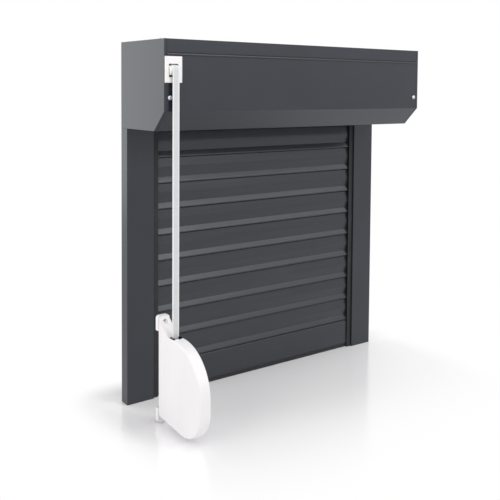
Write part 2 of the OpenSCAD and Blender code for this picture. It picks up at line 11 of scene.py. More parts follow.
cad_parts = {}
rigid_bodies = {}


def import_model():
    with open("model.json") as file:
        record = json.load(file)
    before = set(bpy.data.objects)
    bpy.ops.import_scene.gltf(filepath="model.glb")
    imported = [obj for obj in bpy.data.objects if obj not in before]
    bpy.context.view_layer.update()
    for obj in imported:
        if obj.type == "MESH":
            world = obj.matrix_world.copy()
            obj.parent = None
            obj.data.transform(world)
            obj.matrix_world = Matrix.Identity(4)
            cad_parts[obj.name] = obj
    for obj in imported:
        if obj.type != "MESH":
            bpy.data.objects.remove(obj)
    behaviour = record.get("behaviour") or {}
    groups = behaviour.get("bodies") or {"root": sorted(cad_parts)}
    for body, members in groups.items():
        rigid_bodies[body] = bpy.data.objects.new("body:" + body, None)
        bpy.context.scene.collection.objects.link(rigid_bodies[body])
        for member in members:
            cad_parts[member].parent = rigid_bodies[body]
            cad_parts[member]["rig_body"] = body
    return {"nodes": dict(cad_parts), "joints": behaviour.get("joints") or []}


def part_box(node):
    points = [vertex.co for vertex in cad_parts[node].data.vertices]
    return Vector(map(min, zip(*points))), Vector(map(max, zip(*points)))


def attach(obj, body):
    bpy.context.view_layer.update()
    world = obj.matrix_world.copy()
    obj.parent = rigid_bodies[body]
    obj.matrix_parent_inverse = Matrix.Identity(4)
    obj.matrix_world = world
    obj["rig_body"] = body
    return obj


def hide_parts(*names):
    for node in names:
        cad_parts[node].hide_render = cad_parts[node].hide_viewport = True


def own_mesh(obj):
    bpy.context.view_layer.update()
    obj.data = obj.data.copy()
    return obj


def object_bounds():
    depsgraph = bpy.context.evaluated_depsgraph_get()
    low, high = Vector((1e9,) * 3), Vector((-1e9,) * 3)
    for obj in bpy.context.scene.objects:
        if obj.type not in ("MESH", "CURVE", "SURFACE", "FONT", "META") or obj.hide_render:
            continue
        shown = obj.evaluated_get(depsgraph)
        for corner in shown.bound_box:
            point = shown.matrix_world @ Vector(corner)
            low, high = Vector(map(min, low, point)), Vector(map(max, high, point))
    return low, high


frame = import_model()
CAD_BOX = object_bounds()

bl_info = {
    "name": "Roller shutter looks",
    "version": (1, 0, 0),
    "blender": (4, 5, 0),
    "location": "View3D > Sidebar > Shutter",
    "description": "Dresses the packed roller shutter and sets its studio",
    "category": "Object",
}

AXES = {joint["name"]: Vector(joint["pos_m"]) for joint in frame["joints"] if "pos_m" in joint}
SLATS = [f"slat_{number}" for number in range(1, 10)]
WHITE = (1, 1, 1)
SENSOR_WIDTH = 36  # millimetres

MM = 0.001
MERGE = 0.002 * MM  # corners that are closer than this become one
ON_FACE = 0.01 * MM  # corners that are this close to a face lie on it
FLAT = radians(0.4)  # faces that bend less than this become one
CORNER = radians(30)  # edges that bend more than this are rounded
RIM_CORNER = radians(60)  # the same, for the edges of the winder's flat faces
CREASE = radians(32)  # edges that bend more than this are shaded sharp

# the shortest edges that are rounded
CAST_LEAST = 6 * MM
SHEET_LEAST = 20 * MM
RAIL_LEAST = 15 * MM
MOULD_LEAST = 2.2 * MM

# a Mix node's sockets for colours, which share their names with those for other values
MIX_SHARE, MIX_FIRST, MIX_SECOND, MIX_RESULT = 0, 6, 7, 2


def colour(name, text, value):
    """A colour property."""
    return FloatVectorProperty(name=name, description=text, subtype="COLOR", size=3, min=0, max=1,
                               default=value)


def length(name, text, value):
    """A length property in metres."""
    return FloatProperty(name=name, description=text, unit="LENGTH", min=0, default=value)


def angle(name, text, value):
    """An angle property, given in degrees."""
    return FloatProperty(name=name, description=text, subtype="ANGLE", default=radians(value))


class ShutterLook(bpy.types.PropertyGroup):
    """Sizes and colours of the shutter's surfaces."""

    coat: colour("Coat", "Powder coat of the box and the rails", (0.017, 0.020, 0.029))
    slat_coat: colour("Slat lacquer", "Baked lacquer of the slats", (0.026, 0.029, 0.037))
    white: colour("White plastic", "Winder and strap guide", (0.86, 0.84, 0.85))
    roller_white: colour("Roller plastic", "Guide roller", (0.85, 0.82, 0.78))
    dark: colour("Dark plastic", "Inlets, plugs, end locks and reel", (0.02, 0.021, 0.023))
    rubber: colour("Rubber", "Seals and glides", (0.012, 0.012, 0.014))
    zinc: colour("Zinc", "Screws, springs, pins and bearings", (0.62, 0.63, 0.65))
    tube: colour("Tube", "Zinc coat of the roller tube", (0.55, 0.56, 0.58))
    strap_mid: colour("Strap", "Middle of the strap", (0.54, 0.56, 0.575))
    strap_edge: colour("Strap edge", "Woven edges of the strap", (0.77, 0.77, 0.78))
    foam_deep: colour("Foam", "Darker clouds of the slats' foam", (0.62, 0.52, 0.24))
    foam_pale: colour("Pale foam", "Lighter clouds of the slats' foam", (0.72, 0.64, 0.36))
    sheet_edge: length("Sheet edge", "Rounding of sheet metal edges", 0.35 * MM)
    cast_edge: length("Cast edge", "Rounding of the end caps and rails", 0.6 * MM)
    tube_edge: length("Tube edge", "Rounding of the roller tube's folds", 0.5 * MM)
    lip_edge: length("Lip edge", "Rounding of the rails' seals", 0.4 * MM)
    seal_edge: length("Seal edge", "Rounding of the bottom seal", 0.8 * MM)
    mould_edge: length("Moulding edge", "Rounding of the guide plate and the bracket", 0.7 * MM)
    shell_edge: length("Winder edge", "Rounding of the winder's face edges", 3.2 * MM)
    strap_thick: length("Strap thickness", "Thickness of the strap", 1.2 * MM)
    strap_gap: length("Strap gap", "Gap between the strap and its roller", 0.3 * MM)
    strap_plain: length("Strap middle", "Half the width of the strap's middle", 3.6 * MM)
    strap_bound: length("Strap bound", "From here out the strap has its edge's colour", 4.6 * MM)
    warp: length("Warp pitch", "Distance between the strap's lengthwise yarns", 1.0 * MM)
    weft: length("Weft pitch", "Distance between the strap's cross yarns", 1.1 * MM)


class StageLook(bpy.types.PropertyGroup):
    """Camera, light and floor of the studio."""

    lens: FloatProperty(name="Lens", description="Focal length in millimetres", default=55.1)
    eye: FloatVectorProperty(name="Eye", description="Camera place", subtype="TRANSLATION",
                             size=3, default=(-0.9093, -1.2156, -0.0039))
    yaw: angle("Yaw", "Turn to the right from +Y", 36.26)
    pitch: angle("Pitch", "Tilt upwards", -3)
    roll: angle("Roll", "Tilt of the horizon", 0.4)
    shift_y: FloatProperty(name="Shift", description="Rise of the lens in frame heights",
                           default=-0.243)
    sky: FloatProperty(name="Sky", description="Strength of the ambient light", default=0.54)
    floor_reach: length("Floor reach", "Radius of the floor", 9.0)
    floor_fade: FloatVectorProperty(name="Floor fade", unit="LENGTH", size=3,
                                    description="Reach of the shadow sideways, forwards and back",
                                    default=(0.10, 0.46, 0.10))
    fade_from: FloatProperty(name="Fade from", subtype="FACTOR", min=0, max=1, default=0.32,
                             description="Share of the reach at which the floor starts to whiten")


class Wire:
    """A socket that takes part in arithmetic: each operator adds a Math node."""

    def __init__(self, owner, socket):
        self.owner = owner
        self.socket = socket

    def math(self, operation, *others):
        """A Math node on this value and the others."""
        inputs = dict(enumerate((self, *others)))
        return self.owner.add("ShaderNodeMath", {"operation": operation}, inputs)

    def __add__(self, other):
        return self.math("ADD", other)

    def __mul__(self, other):
        return self.math("MULTIPLY", other)

    def __sub__(self, other):
        return self.math("SUBTRACT", other)

    def __truediv__(self, other):
        return self.math("DIVIDE", other)

    def __rsub__(self, other):
        return (self * -1) + other

    __radd__ = __add__
    __rmul__ = __mul__

    def sine(self):
        """Sine of the value."""
        return self.math("SINE")

    def size(self):
        """The value without its sign."""
        return self.math("ABSOLUTE")

    def above_zero(self):
        """The value, or 0 where it is negative."""
        return self.math("MAXIMUM", 0.0)

    def step(self, low, high):
        """Smooth rise from 0 at low to 1 at high."""
        inputs = {"Value": self, "From Min": low, "From Max": high}
        return self.owner.add("ShaderNodeMapRange", {"interpolation_type": "SMOOTHSTEP"}, inputs)


class NodeTree:
    """A node tree under construction, with one method that adds any node."""

    def __init__(self, tree):
        self.tree = tree
        tree.nodes.clear()

    def add(self, kind, settings=None, sockets=None, out=0):
        """Adds a node, sets it up, fills its sockets and returns one of its outputs, if any."""
        node = self.tree.nodes.new(kind)
        for name, value in (settings or {}).items():
            setattr(node, name, value)
        for name, value in (sockets or {}).items():
            self.fill(node.inputs[name], value)
        return Wire(self, node.outputs[out]) if node.outputs else None

    def fill(self, socket, value):
        """Links a wire to a socket, or sets the socket's own value."""
        if isinstance(value, Wire):
            self.tree.links.new(value.socket, socket)
        elif socket.type == "RGBA" and len(value) == 3:
            socket.default_value = (*value, 1)
        else:
            socket.default_value = value

    def seen(self):
        """1 for rays from the camera and for mirrored or refracted ones, and 0 for light."""
        result = self.add("ShaderNodeLightPath", out="Is Camera Ray")
        for ray in ("Is Glossy Ray", "Is Transmission Ray"):
            result = result.math("MAXIMUM", self.add("ShaderNodeLightPath", out=ray))
        return result


class Finish(NodeTree):
    """A material under construction."""

    def __init__(self, name):
        self.material = bpy.data.materials.new(name)
        self.material.use_nodes = True
        super().__init__(self.material.node_tree)
        self.shader = self.tree.nodes.new("ShaderNodeBsdfPrincipled")
        self.output = self.tree.nodes.new("ShaderNodeOutputMaterial")
        self.tree.links.new(self.shader.outputs[0], self.output.inputs["Surface"])

    def give(self, **values):
        """Fills the shader's sockets, named with underscores for spaces."""
        for name, value in values.items():
            self.fill(self.shader.inputs[name.replace("_", " ")], value)
        return self

    def place(self, stretch=(1, 1, 1)):
        """Object coordinates, stretched along the axes."""
        spot = self.add("ShaderNodeTexCoord", out="Object")
        return self.add("ShaderNodeMapping", sockets={"Vector": spot, "Scale": stretch})

    def noise(self, spot, scale, detail=2.0, rough=0.5):
        """Noise from 0 to 1."""
        inputs = {"Vector": spot, "Scale": scale, "Detail": detail, "Roughness": rough}
        return self.add("ShaderNodeTexNoise", sockets=inputs)

    def mix(self, share, first, second):
        """A colour between two colours."""
        inputs = {MIX_SHARE: share, MIX_FIRST: first, MIX_SECOND: second}
        return self.add("ShaderNodeMix", {"data_type": "RGBA"}, inputs, out=MIX_RESULT)

    def bump(self, height, strength, distance):
        """A normal from a height."""
        inputs = {"Height": height, "Strength": strength, "Distance": distance}
        return self.add("ShaderNodeBump", sockets=inputs)

    def axis(self, spot, name):
        """One of X, Y and Z of a vector."""
        return self.add("ShaderNodeSeparateXYZ", sockets={"Vector": spot}, out=name)


def shade(tint, factor):
    """A lighter or darker version of a colour."""
    return tuple(min(1.0, part * factor) for part in tint)


def powder_coat(name, tint):
    """Fine-textured powder coat: pebbled skin, soft clouds of gloss and faint handling marks."""
    finish = Finish(name)
    spot = finish.place()
    pebble = finish.noise(spot, scale=1500, detail=2.5)
    cloud = finish.noise(spot, scale=9, detail=3)
    smear = finish.noise(finish.place(stretch=(2, 14, 14)), scale=5, detail=4, rough=0.65)
    tone = finish.mix(cloud.step(0.3, 0.7), shade(tint, 0.93), shade(tint, 1.08))
    dust = smear.step(0.62, 0.85) * 0.16
    base = finish.mix(dust, tone, shade(tint, 2.2))
    rough = 0.24 + 0.07 * cloud + 0.05 * pebble + 0.18 * dust
    skin = finish.bump(pebble, strength=0.12, distance=0.12 * MM)
    return finish.give(Base_Color=base, Roughness=rough, Normal=skin, IOR=1.5).material


def slat_lacquer(name, tint):
    """Baked lacquer on roll-formed slats: fine lines along the slat and soft gloss changes."""
    finish = Finish(name)
    lines = finish.noise(finish.place(stretch=(0.25, 40, 40)), scale=22, detail=3)
    cloud = finish.noise(finish.place(stretch=(1, 6, 6)), scale=7, detail=3)
    pebble = finish.noise(finish.place(), scale=1100, detail=2)
    tone = finish.mix(lines.step(0.35, 0.7), shade(tint, 0.9), shade(tint, 1.12))
    base = finish.mix(cloud.step(0.55, 0.8) * 0.25, tone, shade(tint, 1.7))
    rough = 0.24 + 0.1 * cloud + 0.05 * lines
    skin = finish.bump(lines * 0.6 + pebble * 0.4, strength=0.1, distance=0.1 * MM)
    return finish.give(Base_Color=base, Roughness=rough, Normal=skin, IOR=1.45).material


def moulded_plastic(name, tint, rough, grain=900):
    """Moulded plastic with a fine grain, faint flow clouds and a soft sheen."""
    finish = Finish(name)
    cells = finish.noise(finish.place(), scale=grain, detail=2)
    flow = finish.noise(finish.place(stretch=(1, 1, 0.4)), scale=14, detail=3)
    base = finish.mix(flow.step(0.3, 0.75), shade(tint, 0.975), shade(tint, 1.015))
    gloss = rough + 0.08 * flow + 0.05 * cells
    skin = finish.bump(cells, strength=0.05, distance=0.08 * MM)
    return finish.give(Base_Color=base, Roughness=gloss, Normal=skin, IOR=1.48).material


def soft_rubber(name, tint):
    """Matt rubber with talc-like speckle."""
    finish = Finish(name)
    spot = finish.place()
    speck = finish.noise(spot, scale=700, detail=3)
    bloom = finish.noise(spot, scale=25, detail=3)
    base = finish.mix(bloom.step(0.45, 0.8) * 0.4, tint, shade(tint, 2.6))
    skin = finish.bump(speck, strength=0.2, distance=0.15 * MM)
    return finish.give(Base_Color=base, Roughness=0.62 + 0.2 * speck, Normal=skin).material


def zinc_plate(name, tint, cell):
    """Zinc-coated steel with its crystal spangle and fine scratches."""
    finish = Finish(name)
    inputs = {"Vector": finish.place(), "Scale": cell}
    spangle = finish.add("ShaderNodeTexVoronoi", sockets=inputs, out="Color")
    grey = finish.add("ShaderNodeSeparateColor", sockets={"Color": spangle})
    scratch = finish.noise(finish.place(stretch=(1, 30, 30)), scale=90, detail=2)
    base = finish.mix(grey, shade(tint, 0.78), shade(tint, 1.12))
    rough = 0.24 + 0.2 * grey + 0.12 * scratch
    skin = finish.bump(scratch, strength=0.08, distance=0.05 * MM)
    return finish.give(Base_Color=base, Roughness=rough, Metallic=1.0, Normal=skin).material


def woven_strap(name, look):
    """Woven strap: lengthwise yarns with cross yarns over and under, a painted highlight on the
    raised yarns, and dense pale edges.
    """
    finish = Finish(name)
    spot = finish.add("ShaderNodeUVMap", {"uv_map": "weave"})
    across = finish.axis(spot, "X")
    along = finish.axis(spot, "Y")
    warp = (across * (2 * pi / look.warp)).sine()
    weft = (along * (2 * pi / look.weft) + warp * 1.4).sine()
    yarn = warp * 0.5 + weft * 0.5
    fuzz = finish.noise(finish.place(), scale=2600, detail=3)
    edge = across.size().step(look.strap_plain, look.strap_bound)
    body = finish.mix(edge, look.strap_mid, look.strap_edge)
    # painted highlight: the raised yarns are lighter, plus random fuzz
    yarn_highlight_and_fuzz = (yarn * 0.5 + 0.5) * 0.35 + fuzz * 0.15
    base = finish.mix(yarn_highlight_and_fuzz, body, shade(look.strap_edge, 1.12))
    skin = finish.bump(yarn * 0.5 + fuzz * 0.3, strength=0.5, distance=0.2 * MM)
    finish.give(Base_Color=base, Roughness=0.72 + 0.16 * fuzz, Normal=skin)
    return finish.give(Sheen_Weight=0.2, Sheen_Roughness=0.4).material


def coiled_strap(name, look):
    """Wound strap, with pale and darker layers."""
    finish = Finish(name)
    fuzz = finish.noise(finish.place(), scale=1800, detail=3)
    layer = finish.noise(finish.place(stretch=(0.2, 1, 1)), scale=420, detail=2)
    base = finish.mix(layer.step(0.35, 0.65), look.strap_mid, look.strap_edge)
    skin = finish.bump(layer * 0.6 + fuzz * 0.4, strength=0.5, distance=0.3 * MM)
    return finish.give(Base_Color=base, Roughness=0.78 + 0.12 * fuzz, Normal=skin).material


def cell_foam(name, look):
    """Pale rigid foam with open cells."""
    finish = Finish(name)
    spot = finish.place()
    cells = finish.add("ShaderNodeTexVoronoi", sockets={"Vector": spot, "Scale": 900})
    cloud = finish.noise(spot, scale=30, detail=3)
    base = finish.mix(cloud, look.foam_deep, look.foam_pale)
    skin = finish.bump(cells, strength=0.6, distance=0.4 * MM)
    return finish.give(Base_Color=base, Roughness=0.85 + 0.1 * cells, Normal=skin).material


def white_floor(name, stage):
    """Pale studio floor that keeps the shadow and turns white with distance from the object."""
    finish = Finish(name)
    spot = finish.place()
    haze = finish.noise(spot, scale=3)
    base = finish.mix(haze, (0.955, 0.945, 0.955), (0.975, 0.965, 0.975))
    finish.give(Base_Color=base, Roughness=0.12 + 0.06 * haze, IOR=1.7)
    side, front, back = stage.floor_fade
    rail_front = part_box("rail_left")[0].y
    depth = finish.axis(spot, "Y")
    beside = (finish.axis(spot, "X").size() - CAD_BOX[1][0]).above_zero() / side
    ahead = (rail_front - depth).above_zero() / front
    behind = depth.above_zero() / back
    far = (beside * beside + ahead * ahead + behind * behind).math("SQRT")
    glow = finish.add("ShaderNodeEmission", sockets={"Color": WHITE, "Strength": 1.0})
    share = far.step(stage.fade_from, 1.0) * finish.seen()
    surface = Wire(finish, finish.shader.outputs[0])
    blend = finish.add("ShaderNodeMixShader", sockets={0: share, 1: surface, 2: glow})
    finish.fill(finish.output.inputs["Surface"], blend)
    return finish.material


MAKERS = {
    "coat": lambda look: powder_coat("anthracite_powder_coat", look.coat),
    "slat": lambda look: slat_lacquer("anthracite_slat_lacquer", look.slat_coat),
    "white": lambda look: moulded_plastic("white_moulded_plastic", look.white, rough=0.32),
    "roller": lambda look: moulded_plastic("cream_roller_plastic", look.roller_white, rough=0.28),
    "dark": lambda look: moulded_plastic("dark_moulded_plastic", look.dark, rough=0.5, grain=600),
    "rubber": lambda look: soft_rubber("black_rubber", look.rubber),
    "zinc": lambda look: zinc_plate("zinc_plated_steel", look.zinc, cell=900),
    "spangle": lambda look: zinc_plate("spangled_tube_steel", look.tube, cell=120),
    "strap": lambda look: woven_strap("woven_strap", look),
    "coil": lambda look: coiled_strap("wound_strap", look),
    "foam": lambda look: cell_foam("slat_foam", look),
}
made = {}


def material(name):
    """A finish by its short name, made when it is first asked for."""
    if name not in made:
        made[name] = MAKERS[name](bpy.context.scene.shutter_look)
    return made[name]


def new_object(name, mesh):
    """An object in the scene that holds a mesh."""
    thing = bpy.data.objects.new(name, mesh)
    bpy.context.scene.collection.objects.link(thing)
    return thing


def mesh_from(bm, name, crease=CREASE):
    """A mesh with soft shading up to the crease angle, from a bmesh that is then freed."""
    mesh = bpy.data.meshes.new(name)
    bm.to_mesh(mesh)
    bm.free()
    if "custom_normal" in mesh.attributes:
        mesh.attributes.remove(mesh.attributes["custom_normal"])
    mesh.shade_smooth()
    mesh.set_sharp_from_angle(angle=crease)
    return mesh


def dress(finish, *nodes):
    """Gives CAD nodes a finish."""
    for node in nodes:
        slots = frame["nodes"][node].data.materials
        slots.clear()
        slots.append(material(finish))


def bake(piece):
    """Turns a piece with modifiers into a plain mesh."""
    shaped = piece.evaluated_get(bpy.context.evaluated_depsgraph_get())
    result = bpy.data.meshes.new_from_object(shaped)
    piece.modifiers.clear()
    piece.data = result


def flat_faces(piece):
    """Keeps large faces evenly shaded, so that only rounded edges bend the light."""
    modifier = piece.modifiers.new("flat_faces", "WEIGHTED_NORMAL")
    modifier.keep_sharp = True
    modifier.weight = 100
    bake(piece)


def settle(piece, finish, nodes):
    """Gives a piece its finish and slot, and lets it stand for CAD nodes on their body."""
    flat_faces(piece)
    piece.data.materials.clear()
    piece.data.materials.append(material(finish))
    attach(piece, frame["nodes"][nodes[0]]["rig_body"])
    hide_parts(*nodes)


def clean_copy(node):
    """A CAD node's mesh with its triangles merged and its flat faces joined."""
    bm = bmesh.new()
    bm.from_mesh(frame["nodes"][node].data)
    bmesh.ops.remove_doubles(bm, verts=bm.verts, dist=MERGE)
    bmesh.ops.dissolve_limit(bm, angle_limit=FLAT, verts=bm.verts, edges=bm.edges)
    return bm


def round_edges(bm, width, test, steps=2):
    """Rounds the outer edges that pass a test."""
    edges = [edge for edge in bm.edges if len(edge.link_faces) == 2 and test(edge)]
    if edges:
        bmesh.ops.bevel(bm, geom=edges, offset=width, offset_type="OFFSET", segments=steps,
                        profile=0.5, affect="EDGES", clamp_overlap=True)


def long_edge(least):
    """A test for convex edges at a clear corner that are longer than the least length."""
    def test(edge):
        clear = edge.is_convex and edge.calc_face_angle() > CORNER
        return clear and edge.calc_length() > least
    return test


def rounded_copy(node, name, width, least, steps=2):
    """A copy of a CAD node with its long outer edges rounded."""
    bm = clean_copy(node)
    round_edges(bm, width, long_edge(least), steps)
    return new_object(name, mesh_from(bm, name))


class SHUTTER_OT_box(bpy.types.Operator):
    """Coats the end caps, the shell and the front cover"""

    bl_idname = "shutter.box"
    bl_label = "Box"

    def execute(self, context):
        look = context.scene.shutter_look
        for node in ("end_cap_left", "end_cap_right"):
            cap = rounded_copy(node, f"{node}_cast", look.cast_edge, CAST_LEAST)
            settle(cap, "coat", [node])
        for node in ("shell", "front_cover"):
            sheet = rounded_copy(node, f"{node}_sheet", look.sheet_edge, SHEET_LEAST)
            settle(sheet, "coat", [node])
        return {"FINISHED"}


def row_tree(name):
    """A geometry node tree that copies a shape along a line, with named inputs."""
    tree = bpy.data.node_groups.new(name, "GeometryNodeTree")
    inputs = {"Geometry": "NodeSocketGeometry", "Count": "NodeSocketInt",
              "Start": "NodeSocketVector", "Step": "NodeSocketVector",
              "Turn": "NodeSocketRotation", "Finish": "NodeSocketMaterial"}
    for label, kind in inputs.items():
        tree.interface.new_socket(label, in_out="INPUT", socket_type=kind)
    tree.interface.new_socket("Geometry", in_out="OUTPUT", socket_type="NodeSocketGeometry")
    row = NodeTree(tree)
    entry = tree.nodes.new("NodeGroupInput").outputs
    given = {label: Wire(row, entry[label]) for label in inputs}
    spots = {"Count": given["Count"], "Start Location": given["Start"], "Offset": given["Step"]}
    line = row.add("GeometryNodeMeshLine", sockets=spots)
    copies = {"Points": line, "Instance": given["Geometry"], "Rotation": given["Turn"]}
    placed = row.add("GeometryNodeInstanceOnPoints", sockets=copies)
    solid = row.add("GeometryNodeRealizeInstances", sockets={"Geometry": placed})
    coated = {"Geometry": solid, "Material": given["Finish"]}
    dressed = row.add("GeometryNodeSetMaterial", sockets=coated)
    row.add("NodeGroupOutput", sockets={"Geometry": dressed})
    return tree


def grow(name, mesh, tree, values):
    """Runs a geometry node tree on a mesh and returns the result as a plain mesh object."""
    seed = new_object(name, mesh)
    modifier = seed.modifiers.new("grow", "NODES")
    modifier.node_group = tree
    for item in tree.interface.items_tree:
        if item.in_out == "INPUT" and item.name in values:
            modifier[item.identifier] = values[item.name]
    bake(seed)
    return seed


def close_rings(bm, rings):
    """Joins rings of corners, from the lowest to the highest, into a closed shape."""
    for low, high in zip(rings, rings[1:]):
        for number in range(len(low)):
            after = (number + 1) % len(low)
            bm.faces.new((low[number], low[after], high[after], high[number]))
    bm.faces.new(rings[-1])
    bm.faces.new(reversed(rings[0]))


def screw_mesh(radius, height, name):
    """Domed screw head, with its seat at z = 0."""
    turns, levels = 40, 7
    ball = (radius ** 2 + height ** 2) / (2 * height)
    span = acos((ball - height) / ball)
    bm = bmesh.new()

    def ring(reach, rise):
        """Corners of one level of the dome."""
        around = [2 * pi * turn / turns for turn in range(turns)]
        return [bm.verts.new((reach * cos(way), reach * sin(way), rise)) for way in around]

    rings = [ring(radius, 0)]
    for level in range(levels):
        slope = span * (1 - level / levels)
        rings.append(ring(ball * sin(slope), ball * cos(slope) - ball + height))
    close_rings(bm, rings)
    bmesh.ops.remove_doubles(bm, verts=bm.verts, dist=MERGE)
    bmesh.ops.recalc_face_normals(bm, faces=bm.faces)
    return mesh_from(bm, name, crease=radians(40))


def cross_mesh(radius, height, name):
    """The cross that is cut out of a screw head, tapered downwards."""
    arm, width, taper = 0.62 * radius, 0.2 * radius, 0.45
    floor, top = 0.35 * height, 1.4 * height
    outline = [(arm, width), (width, width), (width, arm)]
    outline += [(-y, x) for x, y in outline]
    outline += [(-x, -y) for x, y in outline]
    bm = bmesh.new()
    low = [bm.verts.new((taper * x, taper * y, floor)) for x, y in outline]
    high = [bm.verts.new((x, y, top)) for x, y in outline]
    close_rings(bm, [low, high])
    bmesh.ops.recalc_face_normals(bm, faces=bm.faces)
    return mesh_from(bm, name)


def cut(piece, tool):
    """Cuts a tool object out of a piece and removes it."""
    modifier = piece.modifiers.new("cut", "BOOLEAN")
    modifier.operation = "DIFFERENCE"
    modifier.solver = "EXACT"
    modifier.object = tool
    bake(piece)
    bpy.data.objects.remove(tool)


class SHUTTER_OT_screws(bpy.types.Operator):
    """Makes the cross-head screws of the cover and of the top"""

    bl_idname = "shutter.screws"
    bl_label = "Screws"

    def execute(self, context):
        tree = row_tree("screw_row")
        low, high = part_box("cover_screws")
        middle = (low + high) / 2
        radius = (high.z - low.z) / 2
        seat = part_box("end_cap_left")[0].y
        start = Vector((low.x + radius, seat, middle.z))
        facing_front = (radians(90), 0, 0)
        self.make_row(tree, "cover_screws", start, radius, seat - low.y, facing_front)
        low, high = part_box("top_screws")
        middle = (low + high) / 2
        radius = (high.y - low.y) / 2
        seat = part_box("shell")[1].z
        start = Vector((low.x + radius, middle.y, seat))
        facing_up = (0, 0, radians(25))
        self.make_row(tree, "top_screws", start, radius, high.z - seat, facing_up)
        return {"FINISHED"}

    def make_row(self, tree, node, start, radius, height, turn):
        """Two screw heads for a CAD node, from their first place on."""
        low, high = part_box(node)
        head = new_object("screw_head", screw_mesh(radius, height, "screw_head"))
        cut(head, new_object("screw_cross", cross_mesh(radius, height, "screw_cross")))
        step = Vector((high.x - low.x - 2 * radius, 0, 0))
        values = {"Count": 2, "Start": start, "Step": step, "Turn": turn,
                  "Finish": material("zinc")}
        row = grow(f"{node}_heads", head.data.copy(), tree, values)
        bpy.data.objects.remove(head)
        settle(row, "zinc", [node])


class SHUTTER_OT_rails(bpy.types.Operator):
    """Coats the guide rails and dresses their seals and inlets"""

    bl_idname = "shutter.rails"
    bl_label = "Rails"

    def execute(self, context):
        look = context.scene.shutter_look
        for side in ("left", "right"):
            node = f"rail_{side}"
            rail = rounded_copy(node, f"{node}_profile", look.cast_edge, RAIL_LEAST)
            settle(rail, "coat", [node])
            node = f"rail_seal_{side}"
            seal = rounded_copy(node, f"{node}_lips", look.lip_edge, RAIL_LEAST)
            settle(seal, "rubber", [node])
            dress("dark", f"inlet_{side}")
        return {"FINISHED"}


class SHUTTER_OT_curtain(bpy.types.Operator):
    """Makes the row of slats, and the bottom bar with its seal and glides"""

    bl_idname = "shutter.curtain"
    bl_label = "Curtain"

    def execute(self, context):
        look = context.scene.shutter_look
        bm = clean_copy(SLATS[0])
        round_edges(bm, look.sheet_edge, long_edge(SHEET_LEAST))
        shape = mesh_from(bm, "slat_shape", crease=radians(28))
        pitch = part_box(SLATS[0])[0].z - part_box(SLATS[1])[0].z
        values = {"Count": len(SLATS), "Start": Vector(), "Step": Vector((0, 0, -pitch)),
                  "Turn": (0, 0, 0), "Finish": material("slat")}
        slats = grow("slat_row", shape, row_tree("slat_row"), values)
        settle(slats, "slat", SLATS)
        bar = rounded_copy("bottom_bar", "bottom_bar_profile", look.sheet_edge, SHEET_LEAST)
        settle(bar, "slat", ["bottom_bar"])
        seal = rounded_copy("bottom_seal", "bottom_seal_strip", look.seal_edge, SHEET_LEAST,
                            steps=3)
        settle(seal, "rubber", ["bottom_seal"])
        dress("rubber", "bar_glides")
        dress("dark", "slat_end_locks")
        dress("foam", "slat_cores")
        return {"FINISHED"}


class SHUTTER_OT_roller(bpy.types.Operator):
    """Dresses the roller, its bearings, the strap disc and the hanging springs"""

    bl_idname = "shutter.roller"
    bl_label = "Roller"

    def execute(self, context):
        look = context.scene.shutter_look
        tube = rounded_copy("roller_tube", "roller_tube_folded", look.tube_edge, SHEET_LEAST)
        settle(tube, "spangle", ["roller_tube"])
        dress("zinc", "bearing_left", "bearing_right")
        dress("dark", "plug_left", "plug_right")
        dress("white", "strap_disc")
        dress("coil", "strap_coil")
        bands = mesh_from(clean_copy("hanging_springs"), "spring_bands")
        springs = new_object("hanging_spring_bands", bands)
        settle(springs, "zinc", ["hanging_springs"])
        self.flatten(springs)
        return {"FINISHED"}

    def flatten(self, springs):
        """Works out the share of the springs that the curtain's lift leaves, and gives the
        springs a mesh of their own.
        """
        lift = next(joint for joint in frame["joints"] if joint["name"] == "curtain_lift")
        end = lift["deforming_nodes"][0]["fixed_end_z_m"]
        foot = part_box("hanging_springs")[0].z
        keep = 1 - lift["range_m"][1] / (end - foot)
        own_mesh(springs)


def half_height(node):
    """Half the height of a CAD node, which is a round one's radius."""
    low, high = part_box(node)
    return (high.z - low.z) / 2


def strap_route(look):
    """Points of the strap's middle line from the disc to the reel, with outward directions."""
    coil, guide, reel = AXES["roller_spin"], AXES["guide_spin"].copy(), AXES["reel_spin"]
    guide.x = reel.x
    space = look.strap_gap + look.strap_thick / 2
    coil_r = half_height("strap_coil") + space
    bend_r = half_height("guide_roller") + space
    flat = Vector((0, guide.y - coil.y, guide.z - coil.z))
    reach = flat.length
    ahead = flat / reach
    share = (coil_r - bend_r) / reach
    normal = share * ahead + sqrt(1 - share ** 2) * Vector((0, ahead.z, -ahead.y))
    turn = atan2(normal.z, normal.y) % (2 * pi)
    start = Vector((guide.x, coil.y, coil.z)) + normal * coil_r
    route = [(start, normal), (start.lerp(guide + normal * bend_r, 0.5), normal)]
    bends, drops = 16, 60
    for number in range(bends + 1):
        way = turn + (pi - turn) * number / bends
        out = Vector((0, cos(way), sin(way)))
        route.append((guide + out * bend_r, out))
    foot = Vector((guide.x, guide.y - bend_r, reel.z))
    drop = guide.z - reel.z
    for number in range(1, drops + 1):
        rise = Vector((0, 0, drop * (1 - number / drops)))
        route.append((foot + rise, Vector((0, -1, 0))))
    return route


